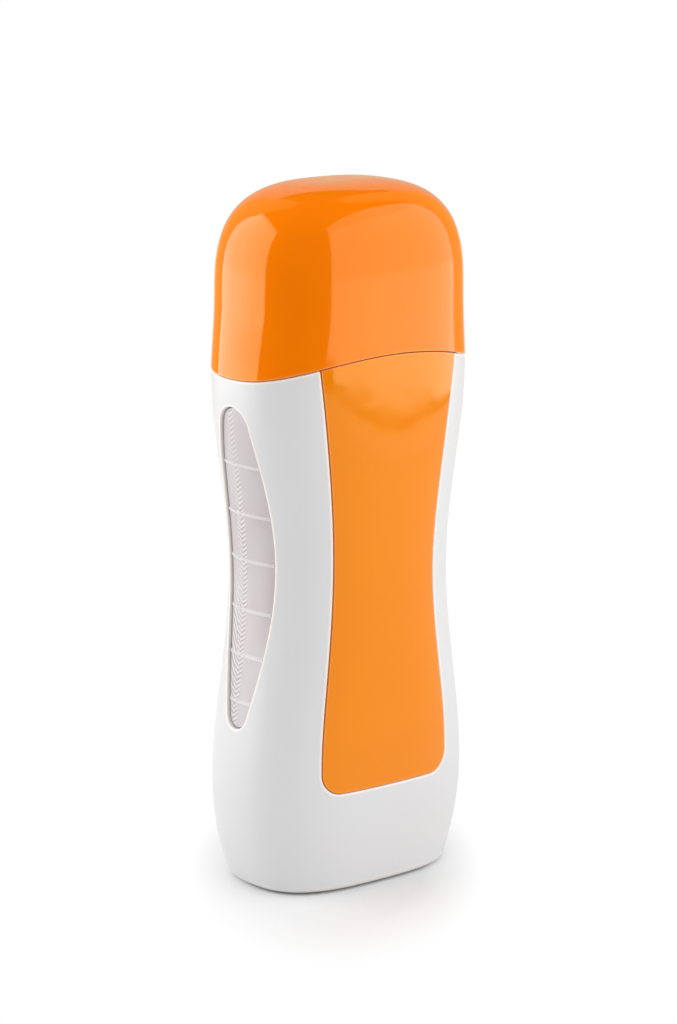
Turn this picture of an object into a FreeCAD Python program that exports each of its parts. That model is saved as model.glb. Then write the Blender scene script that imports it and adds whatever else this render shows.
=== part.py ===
"""A hand-held roll-on wax heater, standing on its base with its cap on.

Millimetres, +Z up, origin on the standing surface under the middle of the
base. The front is -Y, the level windows look out at -X and +X, and the mains
inlet, the power button and its lamp are at the rear, +Y.
"""
import FreeCAD
import Part

import math
import os
from collections import namedtuple
from functools import lru_cache

V = FreeCAD.Vector
X_AXIS = V(1, 0, 0)
Y_AXIS = V(0, 1, 0)
Z_AXIS = V(0, 0, 1)
FAR = 400.0
touch = 0.02

# ---------------------------------------------------------------- outer form
# The outside is one hourglass skin: rounded oblong sections, one above the
# other. Roundness is the exponent of the oblong: 2 is an ellipse.
Section = namedtuple("Section", "height half_width half_depth roundness")
rim = Section(height=0.0, half_width=32.1, half_depth=21.4, roundness=2.88)
heel = Section(height=12.0, half_width=36.3, half_depth=22.4, roundness=2.84)
belly = Section(height=30.0, half_width=38.3, half_depth=23.6, roundness=2.76)
hip = Section(height=58.0, half_width=35.5, half_depth=23.5, roundness=2.64)
waist = Section(height=90.0, half_width=32.8, half_depth=22.7, roundness=2.52)
chest = Section(height=120.0, half_width=35.5, half_depth=24.0, roundness=2.56)
shoulder = Section(height=145.0, half_width=38.0, half_depth=25.0, roundness=2.61)
crown = Section(height=166.0, half_width=36.0, half_depth=26.0, roundness=2.64)
overall_height = 200.0
dome_roundness = 3.1
rim_run_out = 6.0
ring_points = 24

# ------------------------------------------------------------------- casing
body_wall = 2.4
rim_edge_radius = 1.6
foot_stand_off = 0.6
seam_height = 154.1
seam_radius = 112.0
seam_gap = 0.3
seam_edge_radius = 0.35
mouth_edge_radius = 0.4
cap_wall = 2.0
cap_proud = 0.2
cap_edge_radius = 0.15
cap_clearance = 0.3
neck_wall = 1.8
neck_bottom = 143.0
neck_top = 163.0
neck_lead_in = 0.8
grip_rib_height = 0.2
grip_rib_width = 1.2
grip_rib_pitch = 9.0
grip_rib_count = 5

# ------------------------------------------------------------ inlaid panels
panel_thickness = 1.2
panel_gap = 0.2
panel_edge_radius = 0.2
panel_bottom = 30.0
panel_corner_radius = 6.0
panel_foot_half_width = 22.2
panel_hip_half_width = 20.3
panel_waist_half_width = 17.7
panel_chest_half_width = 19.9
panel_top_half_width = 25.2
panel_hip_height = 60.0
panel_waist_height = 91.0
panel_chest_height = 122.0
peg_radius = 1.2
peg_clearance = 0.1
peg_offset = 12.0
peg_heights = (48.0, 134.0)

# ------------------------------------------------------------ level windows
window_bottom = 47.3
window_top = 139.5
window_widest_height = 99.0
window_half_width = 10.4
window_low_tip_radius = 4.2
window_high_tip_radius = 6.3
window_thickness = 1.5
window_lap = 1.6
window_recess = 1.0
window_clearance = 0.25
window_edge_radius = 0.3
window_rib_levels = (55.0, 68.1, 81.0, 95.3, 108.7, 122.9)
window_rib_thickness = 0.8
window_rib_height = 0.3

# ----------------------------------------------------------- cartridge well
well_half_width = 25.4
well_half_depth = 14.9
well_corner_radius = 12.0
well_floor = 46.0
well_floor_thickness = 1.5
well_wall = 1.2
well_mouth_chamfer = 0.8
flange_thickness = 2.0
flange_drop = 2.7
flange_clearance = 0.2
ledge_thickness = 2.5
ledge_width = 2.1
sight_half_width = 9.0
sight_bottom = 52.0
sight_top = 136.0
sight_corner_radius = 8.0
drain_radius = 1.5

# ------------------------------------------------------------- heater packs
plate_half_width = 18.0
plate_bottom = 52.0
plate_top = 142.0
plate_lap = 1.0
plate_flange = 0.6
plate_clearance = 0.2
ptc_half_width = 10.0
ptc_bottom = 75.0
ptc_top = 105.0
ptc_thickness = 2.0
ptc_tab_offset = 6.0
ptc_tab_width = 3.0
ptc_tab_length = 3.0
ptc_tab_thickness = 0.5
ptc_corner_chamfer = 0.8
clamp_sheet = 0.35
clamp_height = 12.0
clamp_foot_length = 3.4
clamp_shoulder = 0.7
clamp_rise = 1.4
rivet_radius = 0.9
rivet_depth = 1.2
rivet_head_radius = 1.5
rivet_head_height = 0.5
rivet_edge_radius = 0.3
cutout_half_width = 4.0
cutout_thickness = 3.4
cutout_bottom = 114.0
cutout_length = 20.0
cutout_edge_radius = 0.8
fuse_radius = 2.0
fuse_length = 12.0
fuse_cone_length = 1.5

# --------------------------------------------------------------- mains inlet
inlet_height = 15.0
inlet_pin_radius = 1.2
inlet_pin_spacing = 8.6
inlet_pin_length = 8.0
inlet_pin_tip = 1.0
inlet_pin_root_radius = 1.6
inlet_tab_length = 5.0
inlet_tab_width = 2.8
inlet_tab_thickness = 0.8
inlet_lobe_radius = 3.65
inlet_corner_radius = 2.9
inlet_cavity_half_width = 7.0
inlet_waist_half_height = 3.1
inlet_cavity_depth = 12.2
inlet_wall = 1.1
inlet_back_thickness = 4.0
inlet_recess = 0.6
inlet_flange_lap = 1.2
inlet_flange_thickness = 1.4
inlet_fit = 0.2
shelf_thickness = 1.6
shelf_depth = 8.0

# --------------------------------------------------- circuit board and lamp
board_half_width = 14.5
board_bottom = 23.0
board_top = 41.5
board_thickness = 1.6
board_front = 10.4
board_slot_clearance = 0.1
rail_wall = 1.6
rail_lip = 1.1
rail_grip = 1.3
lamp_height = 26.2
lamp_radius = 1.5
lamp_length = 5.0
lamp_collar_width = 0.3
lamp_collar_length = 0.9
lens_radius = 1.6
lens_clearance = 0.05
lens_flange_radius = 2.5
lens_flange_thickness = 1.0
lens_proud = 0.3
resistor_half_width = 2.4
resistor_length = 6.4
resistor_height = 2.2
resistor_offset = 9.5
resistor_margin = 1.0
resistor_chamfer = 0.4

# ------------------------------------------------------------- power button
button_height = 35.5
button_radius = 4.4
button_clearance = 0.2
button_proud = 0.7
button_flange_radius = 5.6
button_flange_thickness = 1.0
button_stop_gap = 0.15
button_dish_radius = 14.0
button_dish_depth = 0.35
button_edge_radius = 0.4
button_travel = 1.2
switch_half_width = 4.0
switch_depth = 4.0
switch_corner_radius = 0.6
plunger_radius = 1.5
plunger_clearance = 0.05
plunger_end_gap = 0.2
switch_floor = 0.2

# --------------------------------------------------------------- base cover
base_cover_recess = 0.4
base_cover_thickness = 2.5
base_cover_clearance = 0.15
base_skirt_height = 4.0
base_skirt_wall = 1.4
foot_radius = 4.0
foot_pocket_depth = 0.8
foot_x = 16.8
foot_y = 10.0
foot_edge_radius = 0.3
screw_x = 23.4
screw_y = 11.0
screw_radius = 1.1
screw_head_radius = 2.2
screw_head_height = 1.5
screw_length = 10.0
screw_hole_clearance = 0.2
screw_end_gap = 1.0
screw_slot_half_length = 1.54
screw_slot_width = 0.5
screw_slot_depth = 0.6
boss_radius = 3.0
boss_top = 17.0
boss_web = 1.4
well_screw_edge = 3.45
well_boss_radius = 2.4
well_boss_bottom = 147.0

# -------------------------------------------------------------------- leads
lead_radius = 0.7
lead_bend = 1.8
lead_least_trim = 0.4
lead_pad_stub = 2.5
lead_x = 11.5
lead_side_x = 18.0
lead_pad_height = 38.5
lead_under_floor = 1.3
lead_climb = 8.0
lead_clearance = 0.25
lead_tail = 4.0
lead_cross_over = 9.0
lead_entry = 2.5
lead_floor_margin = 1.0
link_entry = 2.0

# ------------------------------------------------------------ worked-out sizes
cap_inset = cap_wall - cap_proud
neck_inset = cap_inset + cap_clearance
neck_inner_inset = neck_inset + neck_wall
flange_top = neck_top - flange_drop
flange_bottom = flange_top - flange_thickness
plate_face = well_half_depth + well_wall + plate_flange
cover_bottom = foot_stand_off + base_cover_recess
cover_top = cover_bottom + base_cover_thickness
board_back = board_front + board_thickness


# ------------------------------------------------------------ shape helpers
def ring(section, inset, scale=1.0):
    """Closed level curve of the skin, drawn in by inset on every side."""
    a = (section.half_width - inset) * scale
    b = (section.half_depth - inset) * scale
    n = section.roundness
    points = []
    for i in range(ring_points):
        turn = 2 * math.pi * i / ring_points
        c = math.cos(turn)
        s = math.sin(turn)
        reach = (abs(c / a) ** n + abs(s / b) ** n) ** (-1 / n)
        points.append(V(reach * c, reach * s, section.height))
    # an even closed cubic passes within a few microns of its points when each
    # pole stands off by a sixth of the bend there
    poles = []
    for before, point, after in zip(points[-1:] + points, points, points[1:] + points[:1]):
        poles.append(point - (before + after - point * 2) * (1 / 6))
    curve = Part.BSplineCurve()
    knots = list(range(ring_points + 1))
    curve.buildFromPolesMultsKnots(poles, [1] * len(knots), knots, True, 3)
    return Part.Wire([curve.toShape()])


@lru_cache(maxsize=None)
def skin(inset):
    """Solid inside the outer form, drawn in by inset, run on below the rim."""
    drop = Section(
        rim.height - rim_run_out,
        rim.half_width - rim_run_out * (heel.half_width - rim.half_width) / (heel.height - rim.height),
        rim.half_depth - rim_run_out * (heel.half_depth - rim.half_depth) / (heel.height - rim.height),
        rim.roundness,
    )
    rings = [ring(s, inset) for s in (drop, rim, heel, belly, hip, waist, chest, shoulder, crown)]
    rise = overall_height - cap_proud - inset - crown.height
    for degrees in (14, 28, 42, 54, 64, 72, 79, 84, 87.5, 89.5):
        angle = math.radians(degrees)
        level = crown.height + rise * math.sin(angle) ** (2 / dome_roundness)
        rings.append(ring(crown._replace(height=level), inset, math.cos(angle) ** (2 / dome_roundness)))
    return Part.makeLoft(rings, True, False)


def blend(lower, upper, height):
    """Section part of the way up between two others."""
    share = (height - lower.height) / (upper.height - lower.height)
    return Section(*[a + (b - a) * share for a, b in zip(lower, upper)])


@lru_cache(maxsize=None)
def neck_form(inset):
    """Solid inside the neck: as deep all the way up as at the seam, so the cap lifts clear."""
    seam = blend(shoulder, crown, seam_height)
    top = blend(shoulder, crown, neck_top)
    foot = seam._replace(height=neck_bottom, half_width=shoulder.half_width)
    head = seam._replace(height=neck_top, half_width=top.half_width)
    return Part.makeLoft([ring(foot, inset), ring(head, inset)], True, True)


def well_screw_places(height):
    """Points on the two well screws' axes, a set distance in from the neck."""
    low = shoulder.half_width
    high = blend(shoulder, crown, neck_top).half_width
    outline = low + (high - low) * (flange_bottom - neck_bottom) / (neck_top - neck_bottom)
    x = outline - neck_inner_inset - well_screw_edge
    return [V(-x, 0, height), V(x, 0, height)]


def slab(low, high):
    """Everything between two heights."""
    return Part.makeBox(FAR, FAR, high - low, V(-FAR / 2, -FAR / 2, low))


def below_seam(gap):
    """Everything below the arched parting line, lowered by gap."""
    axis_height = seam_height - seam_radius
    arch = Part.makeCylinder(seam_radius - gap, FAR, V(0, -FAR / 2, axis_height), Y_AXIS)
    return arch.fuse(slab(axis_height - FAR, axis_height))


def block(x0, x1, y0, y1, z0, z1):
    return Part.makeBox(x1 - x0, y1 - y0, z1 - z0, V(x0, y0, z0))


def rod(radius, start, along, length):
    return Part.makeCylinder(radius, length, start, along)


def oblong(half_width, half_depth, radius, low, high):
    """Upright rounded block."""
    body = block(-half_width, half_width, -half_depth, half_depth, low, high)
    upright = [e for e in body.Edges if abs(e.tangentAt(e.FirstParameter).z) > 0.9]
    return body.makeFillet(radius, upright)


def cut_each(shape, tools):
    """The shape with each tool cut from it in turn."""
    for tool in tools:
        shape = shape.cut(tool)
    return shape


def edges_on(shape, *others):
    """Edges of the shape whose middle lies on the surface of each of the others."""
    found = []
    for edge in shape.Edges:
        middle = Part.Vertex(edge.valueAt((edge.FirstParameter + edge.LastParameter) / 2))
        if all(other.Shells[0].distToShape(middle)[0] < touch for other in others):
            found.append(edge)
    return found


def refined(shape):
    """The shape with needless edges merged, where that leaves it sound."""
    merged = shape.copy().removeSplitter()
    return merged if merged.isValid() else shape


def arc(start, middle, end):
    return Part.Arc(start, middle, end).toShape()


def line(start, end):
    return Part.LineSegment(start, end).toShape()


def mirrored_x(shape):
    return shape.mirror(V(0, 0, 0), X_AXIS)


def mirrored_y(shape):
    return shape.mirror(V(0, 0, 0), Y_AXIS)


def skin_depth(x, z, inset):
    """Distance of the skin from the middle plane at a point seen from the front."""
    probe = line(V(x, 0, z), V(x, FAR / 2, z))
    return probe.common(skin(inset)).BoundBox.YMax


def wall_face(half_width, low, high):
    """Depth of a flat face that just clears the inside of the rear wall."""
    return min(skin_depth(half_width, z, body_wall) for z in (low, high))


# ------------------------------------------------------------- inlaid panels
def panel_side(side, grow):
    """Long edge of the panel: flared at the top, narrow at the waist, upright at the foot."""
    stations = (
        (panel_top_half_width, neck_top),
        (panel_chest_half_width, panel_chest_height),
        (panel_waist_half_width, panel_waist_height),
        (panel_hip_half_width, panel_hip_height),
        (panel_foot_half_width, panel_bottom + panel_corner_radius),
    )
    points = [V(side * (half_width + grow), 0, height) for half_width, height in stations]
    flare = V(side * (panel_chest_half_width - panel_top_half_width), 0, panel_chest_height - neck_top)
    curve = Part.BSplineCurve()
    curve.interpolate(Points=points, InitialTangent=flare, FinalTangent=V(0, 0, -1))
    return curve


def panel_prism(grow):
    """The panel's outline, grown by grow, run through the front of the body."""
    left = panel_side(-1, grow)
    right = panel_side(1, grow)
    radius = panel_corner_radius + grow
    low = panel_bottom - grow
    inner = panel_foot_half_width + grow - radius
    swing = radius * math.sqrt(0.5)
    corner_left = arc(
        left.value(left.LastParameter),
        V(-inner - swing, 0, low + radius - swing),
        V(-inner, 0, low),
    )
    corner_right = arc(
        V(inner, 0, low),
        V(inner + swing, 0, low + radius - swing),
        right.value(right.LastParameter),
    )
    top = line(right.value(right.FirstParameter), left.value(left.FirstParameter))
    foot = line(V(-inner, 0, low), V(inner, 0, low))
    outline = Part.Wire([left.toShape(), corner_left, foot, corner_right, right.toShape(), top])
    return Part.Face(outline).extrude(V(0, -FAR / 2, 0))


def panel_pegs(grow, depth):
    """Short pegs behind the panel that seat in the body wall."""
    pegs = []
    for height in peg_heights:
        reach = skin_depth(peg_offset, height, panel_thickness)
        for x in (-peg_offset, peg_offset):
            start = V(x, -reach - panel_thickness / 2, height)
            pegs.append(rod(peg_radius + grow, start, Y_AXIS, panel_thickness / 2 + depth))
    return pegs


def panel_recess():
    """What the body loses so that the panel lies flush in it."""
    return panel_prism(panel_gap).cut(skin(panel_thickness))


def front_panel():
    """Inlay with softened long edges, seated on its pegs."""
    face = skin(0).cut(skin(panel_thickness)).common(panel_prism(0))
    face = face.makeFillet(panel_edge_radius, edges_on(face, skin(0), panel_prism(0)))
    face = face.common(below_seam(seam_gap))
    return refined(face.fuse(panel_pegs(0, body_wall - panel_thickness)))


def rear_panel():
    panel = mirrored_y(front_panel())
    return panel.cut(button_hole())


# -------------------------------------------------------------- level windows
def side_radius(half_width, rise, tip_radius):
    """Radius of the long arc that runs tangent into a tip of the given radius."""
    run = rise - tip_radius
    return (half_width**2 + run**2 - tip_radius**2) / (2 * (half_width - tip_radius))


def window_half(grow, direction, tip_height, tip_radius):
    """Edges of the opening on one side of its widest level, rear side first."""
    half_width = window_half_width + grow
    tip = tip_radius + grow
    rise = abs(tip_height - window_widest_height) + grow
    radius = side_radius(half_width, rise, tip)
    lean = math.atan2(rise - tip, radius - half_width)
    level = window_widest_height
    tip_centre = level + direction * (rise - tip)

    def side_point(sign, angle):
        depth = sign * (radius * math.cos(angle) - radius + half_width)
        return V(0, depth, level + direction * radius * math.sin(angle))

    rear = arc(side_point(1, 0), side_point(1, lean / 2), side_point(1, lean))
    nose = arc(side_point(1, lean), V(0, 0, tip_centre + direction * tip), side_point(-1, lean))
    front = arc(side_point(-1, lean), side_point(-1, lean / 2), side_point(-1, 0))
    return [rear, nose, front]


def window_prism(grow):
    """The eye-shaped opening, grown by grow, run out through the left side."""
    upper = window_half(grow, 1, window_top, window_high_tip_radius)
    lower = window_half(grow, -1, window_bottom, window_low_tip_radius)
    outline = Part.Wire(Part.__sortEdges__(upper + lower))
    return Part.Face(outline).extrude(V(-FAR / 2, 0, 0))


def left_window():
    """Clear pane flanged behind the wall, its field raised into the opening, with level ribs."""
    flange = skin(body_wall).cut(skin(body_wall + window_thickness)).common(window_prism(window_lap))
    field = window_prism(-window_clearance).common(skin(window_recess))
    field = field.makeFillet(window_edge_radius, edges_on(field, skin(window_recess)))
    field = field.cut(skin(body_wall + window_thickness / 2))
    hollow = skin(window_recess + window_thickness).common(window_prism(-window_clearance - window_thickness))
    proud = skin(window_recess - window_rib_height).cut(skin(window_recess + window_thickness / 2))
    proud = proud.common(window_prism(-window_clearance - window_edge_radius))
    half = window_rib_thickness / 2
    ribs = [proud.common(slab(level - half, level + half)) for level in window_rib_levels]
    return refined(flange.fuse(field).cut(hollow).fuse(ribs))


def right_window():
    return mirrored_x(left_window())


# --------------------------------------------------------------------- casing
def cap():
    """Domed cover with an arched lower edge, standing a little proud of the body."""
    shell = skin(-cap_proud).cut(skin(cap_inset)).cut(below_seam(0))
    return shell.makeFillet(cap_edge_radius, edges_on(shell, skin(-cap_proud), below_seam(0)))


def neck():
    """Collar that the cap plugs over, with a lead-in and grip ribs."""
    post = neck_form(neck_inset)
    mouth = [e for e in post.Edges if abs(e.CenterOfMass.z - neck_top) < 0.01]
    ring_band = post.makeChamfer(neck_lead_in, mouth).cut(neck_form(neck_inner_inset))
    ribs = []
    rib_top = neck_top - 2 * neck_lead_in
    grip = neck_form(neck_inset - grip_rib_height).cut(neck_form(neck_inset + neck_wall / 2))
    for i in range(grip_rib_count):
        x = grip_rib_pitch * (i - (grip_rib_count - 1) / 2)
        half = grip_rib_width / 2
        ribs.append(grip.common(block(x - half, x + half, -FAR / 2, FAR / 2, seam_height, rib_top)))
    return ring_band.fuse(ribs)


def well_ledge():
    """Step inside the neck that carries the well, with a boss at each side."""
    low = flange_bottom - ledge_thickness
    step = neck_form(neck_inner_inset).cut(neck_form(neck_inner_inset + ledge_width))
    step = step.common(slab(low, flange_bottom))
    rise = flange_bottom - well_boss_bottom
    bosses = [rod(well_boss_radius, place, Z_AXIS, rise) for place in well_screw_places(well_boss_bottom)]
    return step.fuse(bosses)


def screw_places():
    return [V(x, y, 0) for x in (-screw_x, screw_x) for y in (-screw_y, screw_y)]


def base_bosses():
    """Screw bosses with a web out to the wall, standing on the base cover."""
    parts = []
    for place in screw_places():
        post = rod(boss_radius, place + Z_AXIS * cover_top, Z_AXIS, boss_top - cover_top)
        toward = math.copysign(1, place.y)
        near, far = sorted((place.y, place.y + toward * 3 * boss_radius))
        half = boss_web / 2
        web = block(place.x - half, place.x + half, near, far, cover_top + base_skirt_height, boss_top)
        parts.append(post.fuse(web))
    return parts


def board_rails():
    """Pair of grooves at the rear that the circuit board slides up into."""
    rails = []
    groove_front = board_front - board_slot_clearance
    groove_back = board_back + board_slot_clearance
    lip_front = groove_front - rail_lip
    wall_start = board_half_width + board_slot_clearance
    wall_end = wall_start + rail_wall
    lip_start = board_half_width - rail_grip
    rail_top = board_top + rail_lip
    wall = block(wall_start, wall_end, lip_front, FAR / 2, board_bottom, board_top)
    front_lip = block(lip_start, wall_start, lip_front, groove_front, board_bottom, board_top)
    back_lip = block(lip_start, wall_start, groove_back, groove_back + rail_lip, board_bottom, board_top)
    stop = block(lip_start, wall_start, groove_front, groove_back, board_top, rail_top)
    cheek = block(lip_start, wall_end, lip_front, FAR / 2, board_top, rail_top)
    rail = wall.fuse([front_lip, back_lip, stop, cheek])
    rails.append(rail)
    rails.append(mirrored_x(rail))
    return rails


def inlet_shelf():
    """Shelf over the inlet that keeps it level."""
    low = inlet_height + inlet_half_height() + inlet_fit
    half = inlet_half_width()
    depth = skin_depth(0, inlet_height, body_wall)
    return block(-half, half, depth - shelf_depth, FAR / 2, low, low + shelf_thickness)


def body_shell():
    """One-piece hourglass sleeve, open at the foot, necked at the top, its outer edges softened."""
    outside = skin(0)
    sleeve = outside.cut(skin(body_wall)).common(slab(foot_stand_off, FAR))
    sleeve = sleeve.makeFillet(rim_edge_radius, edges_on(sleeve, outside, slab(foot_stand_off, FAR)))
    recess = panel_recess()
    opening = window_prism(0)
    mouths = [recess, mirrored_y(recess), opening, mirrored_x(opening)]
    sleeve = sleeve.cut(mouths)
    for mouth in mouths:
        sleeve = sleeve.makeFillet(mouth_edge_radius, edges_on(sleeve, outside, mouth))
    below = below_seam(seam_gap)
    sleeve = sleeve.common(below)
    sleeve = sleeve.makeFillet(seam_edge_radius, edges_on(sleeve, outside, below))
    inner = base_bosses() + board_rails() + [inlet_shelf()]
    fittings = [piece.common(skin(body_wall / 2)) for piece in inner]
    sleeve = sleeve.fuse([neck(), well_ledge()] + fittings)
    holes = panel_pegs(peg_clearance, body_wall)
    sleeve = sleeve.cut(holes + [mirrored_y(hole) for hole in holes])
    sleeve = sleeve.cut([inlet_opening(), button_hole(), lens_hole()])
    drills = []
    for place in screw_places():
        drills.append(rod(screw_radius, place + Z_AXIS * cover_top, Z_AXIS, screw_length))
    for place in well_screw_places(flange_bottom - screw_length):
        drills.append(rod(screw_radius, place, Z_AXIS, screw_length))
    return refined(sleeve.cut(drills))


def base_cover():
    """Plate that closes the foot, with a skirt, foot pockets and a prop for the inlet."""
    fit = body_wall + base_cover_clearance
    plate = skin(fit).common(slab(cover_bottom, cover_top))
    skirt = skin(fit).cut(skin(fit + base_skirt_wall))
    skirt = skirt.common(slab(cover_bottom, cover_top + base_skirt_height))
    inlet_low = inlet_height - inlet_half_height()
    prop_half = inlet_cavity_half_width / 2
    prop = block(-prop_half, prop_half, board_front - rail_lip, board_back, cover_bottom, inlet_low)
    cover = plate.fuse([skirt, prop])
    cuts = []
    for place in screw_places():
        start = place + Z_AXIS * cover_bottom
        cuts.append(rod(screw_radius + screw_hole_clearance, start, Z_AXIS, base_cover_thickness))
        cuts.append(screw_head(start, Z_AXIS, screw_hole_clearance))
        room = rod(boss_radius + screw_hole_clearance, place + Z_AXIS * cover_top, Z_AXIS, base_skirt_height)
        cuts.append(room)
    for place in foot_places():
        cuts.append(rod(foot_radius, place, Z_AXIS, cover_bottom + foot_pocket_depth))
    return refined(cut_each(cover, cuts))


def foot_places():
    return [V(x, y, 0) for x in (-foot_x, foot_x) for y in (-foot_y, foot_y)]


def rubber_feet():
    feet = []
    for place in foot_places():
        foot = rod(foot_radius, place, Z_AXIS, cover_bottom + foot_pocket_depth)
        edge = [e for e in foot.Edges if e.BoundBox.ZMax < 0.01]
        feet.append(foot.makeFillet(foot_edge_radius, edge))
    return Part.makeCompound(feet)


# ----------------------------------------------------------------- fasteners
def screw_head(start, along, grow):
    """Countersunk head whose flat top is at start."""
    return Part.makeCone(screw_head_radius + grow, screw_radius, screw_head_height, start, along)


def screw(start, along):
    """Cross-slotted countersunk screw, head first."""
    head = screw_head(start, along, 0)
    shank = rod(screw_radius, start, along, base_cover_thickness + screw_length - screw_end_gap)
    turn = FreeCAD.Rotation(Z_AXIS, along)
    arm = screw_slot_half_length
    slots = []
    for length, width in ((arm, screw_slot_width / 2), (screw_slot_width / 2, arm)):
        slot = block(-length, length, -width, width, 0, screw_slot_depth)
        slot.Placement = FreeCAD.Placement(start, turn)
        slots.append(slot)
    return refined(head.fuse(shank).cut(slots))


def base_screws():
    return Part.makeCompound([screw(place + Z_AXIS * cover_bottom, Z_AXIS) for place in screw_places()])


def well_screws():
    return Part.makeCompound([screw(place, -Z_AXIS) for place in well_screw_places(flange_top)])


# ------------------------------------------------------------ cartridge well
def well_block(grow, low, high):
    """The cartridge's rounded oblong, grown by grow."""
    return oblong(well_half_width + grow, well_half_depth + grow, well_corner_radius + grow, low, high)


def cartridge_well():
    """Open liner that the wax cartridge drops into, hung from its flange."""
    liner = well_block(well_wall, well_floor - well_floor_thickness, flange_top)
    flange = neck_form(neck_inner_inset + flange_clearance).common(slab(flange_bottom, flange_top))
    well = liner.fuse(flange)
    well = well.cut(well_block(0, well_floor, overall_height))
    mouth = [
        e for e in well.Edges
        if abs(e.CenterOfMass.z - flange_top) < 0.01 and abs(e.CenterOfMass.y) < well_half_depth + 0.1
        and e.BoundBox.XMax < well_half_width + 0.1 and e.BoundBox.XMin > -well_half_width - 0.1
    ]
    well = well.makeChamfer(well_mouth_chamfer, mouth)
    slots = plate_room(plate_clearance)
    sight = block(-FAR / 2, FAR / 2, -sight_half_width, sight_half_width, sight_bottom, sight_top)
    ends = [e for e in sight.Edges if abs(e.tangentAt(e.FirstParameter).x) > 0.9]
    sight = sight.makeFillet(sight_corner_radius, ends)
    drain = rod(drain_radius, V(0, 0, 0), Z_AXIS, FAR / 4)
    cuts = [slots, sight, drain]
    for top in well_screw_places(flange_top):
        cuts.append(rod(screw_radius + screw_hole_clearance, top, -Z_AXIS, flange_thickness))
        cuts.append(screw_head(top, -Z_AXIS, screw_hole_clearance))
    return refined(well.cut(cuts))


def plate_room(clearance):
    """Openings through the liner's front and rear for the heater plates."""
    half = plate_half_width + clearance
    return block(-half, half, -FAR / 2, FAR / 2, plate_bottom - clearance, plate_top + clearance)


# -------------------------------------------------------------- heater packs
def rear_heater_plate():
    """Stepped aluminium plate: its face lines the well, its rim laps the liner."""
    rear = block(-FAR / 2, FAR / 2, 0, FAR / 2, plate_bottom, plate_top)
    hollow = well_block(0, 0, overall_height)
    face = well_block(well_wall + plate_flange, plate_bottom, plate_top).cut(hollow)
    half = plate_half_width
    face = face.common(rear).common(block(-half, half, 0, FAR / 2, plate_bottom, plate_top))
    low = plate_bottom - plate_lap
    high = plate_top + plate_lap
    lap = well_block(well_wall + plate_flange, low, high).cut(well_block(well_wall, 0, overall_height))
    wide = plate_half_width + plate_lap
    lap = lap.common(block(-wide, wide, 0, FAR / 2, low, high))
    plate = face.fuse(lap)
    drills = [rod(rivet_radius, V(x, plate_face, z), -Y_AXIS, rivet_depth) for x, z in rivet_places()]
    return refined(plate.cut(drills))


def ptc_middle():
    return (ptc_bottom + ptc_top) / 2


def rivet_places():
    x = ptc_half_width + clamp_shoulder + clamp_rise + clamp_foot_length / 2
    return [(-x, ptc_middle()), (x, ptc_middle())]


def rear_ptc_heater():
    """Ceramic heater stone between two electrode sheets, with a tab at each end."""
    half = ptc_half_width
    stone = block(-half, half, plate_face, plate_face + ptc_thickness, ptc_bottom, ptc_top)
    upright = [e for e in stone.Edges if abs(e.tangentAt(e.FirstParameter).y) > 0.9]
    stone = stone.makeChamfer(ptc_corner_chamfer, upright)
    middle = plate_face + ptc_thickness / 2
    tabs = []
    for base, tip in ((ptc_bottom, ptc_bottom - ptc_tab_length), (ptc_top, ptc_top + ptc_tab_length)):
        low, high = sorted((base, tip))
        centre = ptc_tab_offset
        tabs.append(block(
            centre - ptc_tab_width / 2, centre + ptc_tab_width / 2,
            middle - ptc_tab_thickness / 2, middle + ptc_tab_thickness / 2, low, high,
        ))
    return refined(stone.fuse(tabs))


def rear_ptc_clamp():
    """Spring-steel strap bent over the heater stone and riveted to the plate."""
    crest = plate_face + ptc_thickness
    edge = ptc_half_width + clamp_shoulder
    foot = edge + clamp_rise
    end = foot + clamp_foot_length
    outer = [V(-end, plate_face, 0), V(-foot, plate_face, 0), V(-edge, crest, 0)]
    outer += [V(-point.x, point.y, 0) for point in reversed(outer)]
    lifted = [point + Y_AXIS * clamp_sheet for point in reversed(outer)]
    outline = Part.makePolygon(outer + lifted + [outer[0]])
    strap = Part.Face(outline).extrude(Z_AXIS * clamp_height)
    strap.translate(Z_AXIS * (ptc_middle() - clamp_height / 2))
    drills = [rod(rivet_radius, V(x, plate_face, z), Y_AXIS, clamp_sheet * 2) for x, z in rivet_places()]
    return strap.cut(drills)


def clamp_rivets():
    rivets = []
    for x, z in rivet_places():
        shank = rod(rivet_radius, V(x, plate_face - rivet_depth, z), Y_AXIS, rivet_depth + clamp_sheet)
        head = rod(rivet_head_radius, V(x, plate_face + clamp_sheet, z), Y_AXIS, rivet_head_height)
        top = plate_face + clamp_sheet + rivet_head_height
        edge = [e for e in head.Edges if e.BoundBox.YMin > top - 0.01]
        rivet = refined(shank.fuse(head.makeFillet(rivet_edge_radius, edge)))
        rivets.append(rivet)
        rivets.append(mirrored_y(rivet))
    return Part.makeCompound(rivets)


def thermostat():
    """Slim bimetal cut-out lying on the rear plate."""
    half = cutout_half_width
    back = plate_face + cutout_thickness
    case = block(-half, half, plate_face, back, cutout_bottom, cutout_bottom + cutout_length)
    return case.makeFillet(cutout_edge_radius, [e for e in case.Edges if e.BoundBox.YMin > plate_face + 0.1])


def fuse_axis():
    return -(plate_face + fuse_radius)


def thermal_fuse():
    """Cylindrical one-shot fuse lying on the front plate."""
    start = V(0, fuse_axis(), cutout_bottom)
    barrel = rod(fuse_radius, start + Z_AXIS * fuse_cone_length, Z_AXIS, fuse_length - fuse_cone_length)
    cone = Part.makeCone(lead_radius, fuse_radius, fuse_cone_length, start, Z_AXIS)
    return refined(barrel.fuse(cone))


# --------------------------------------------------------------- mains inlet
def inlet_half_height():
    return inlet_lobe_radius + inlet_wall


def inlet_half_width():
    return inlet_cavity_half_width + inlet_wall


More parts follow.
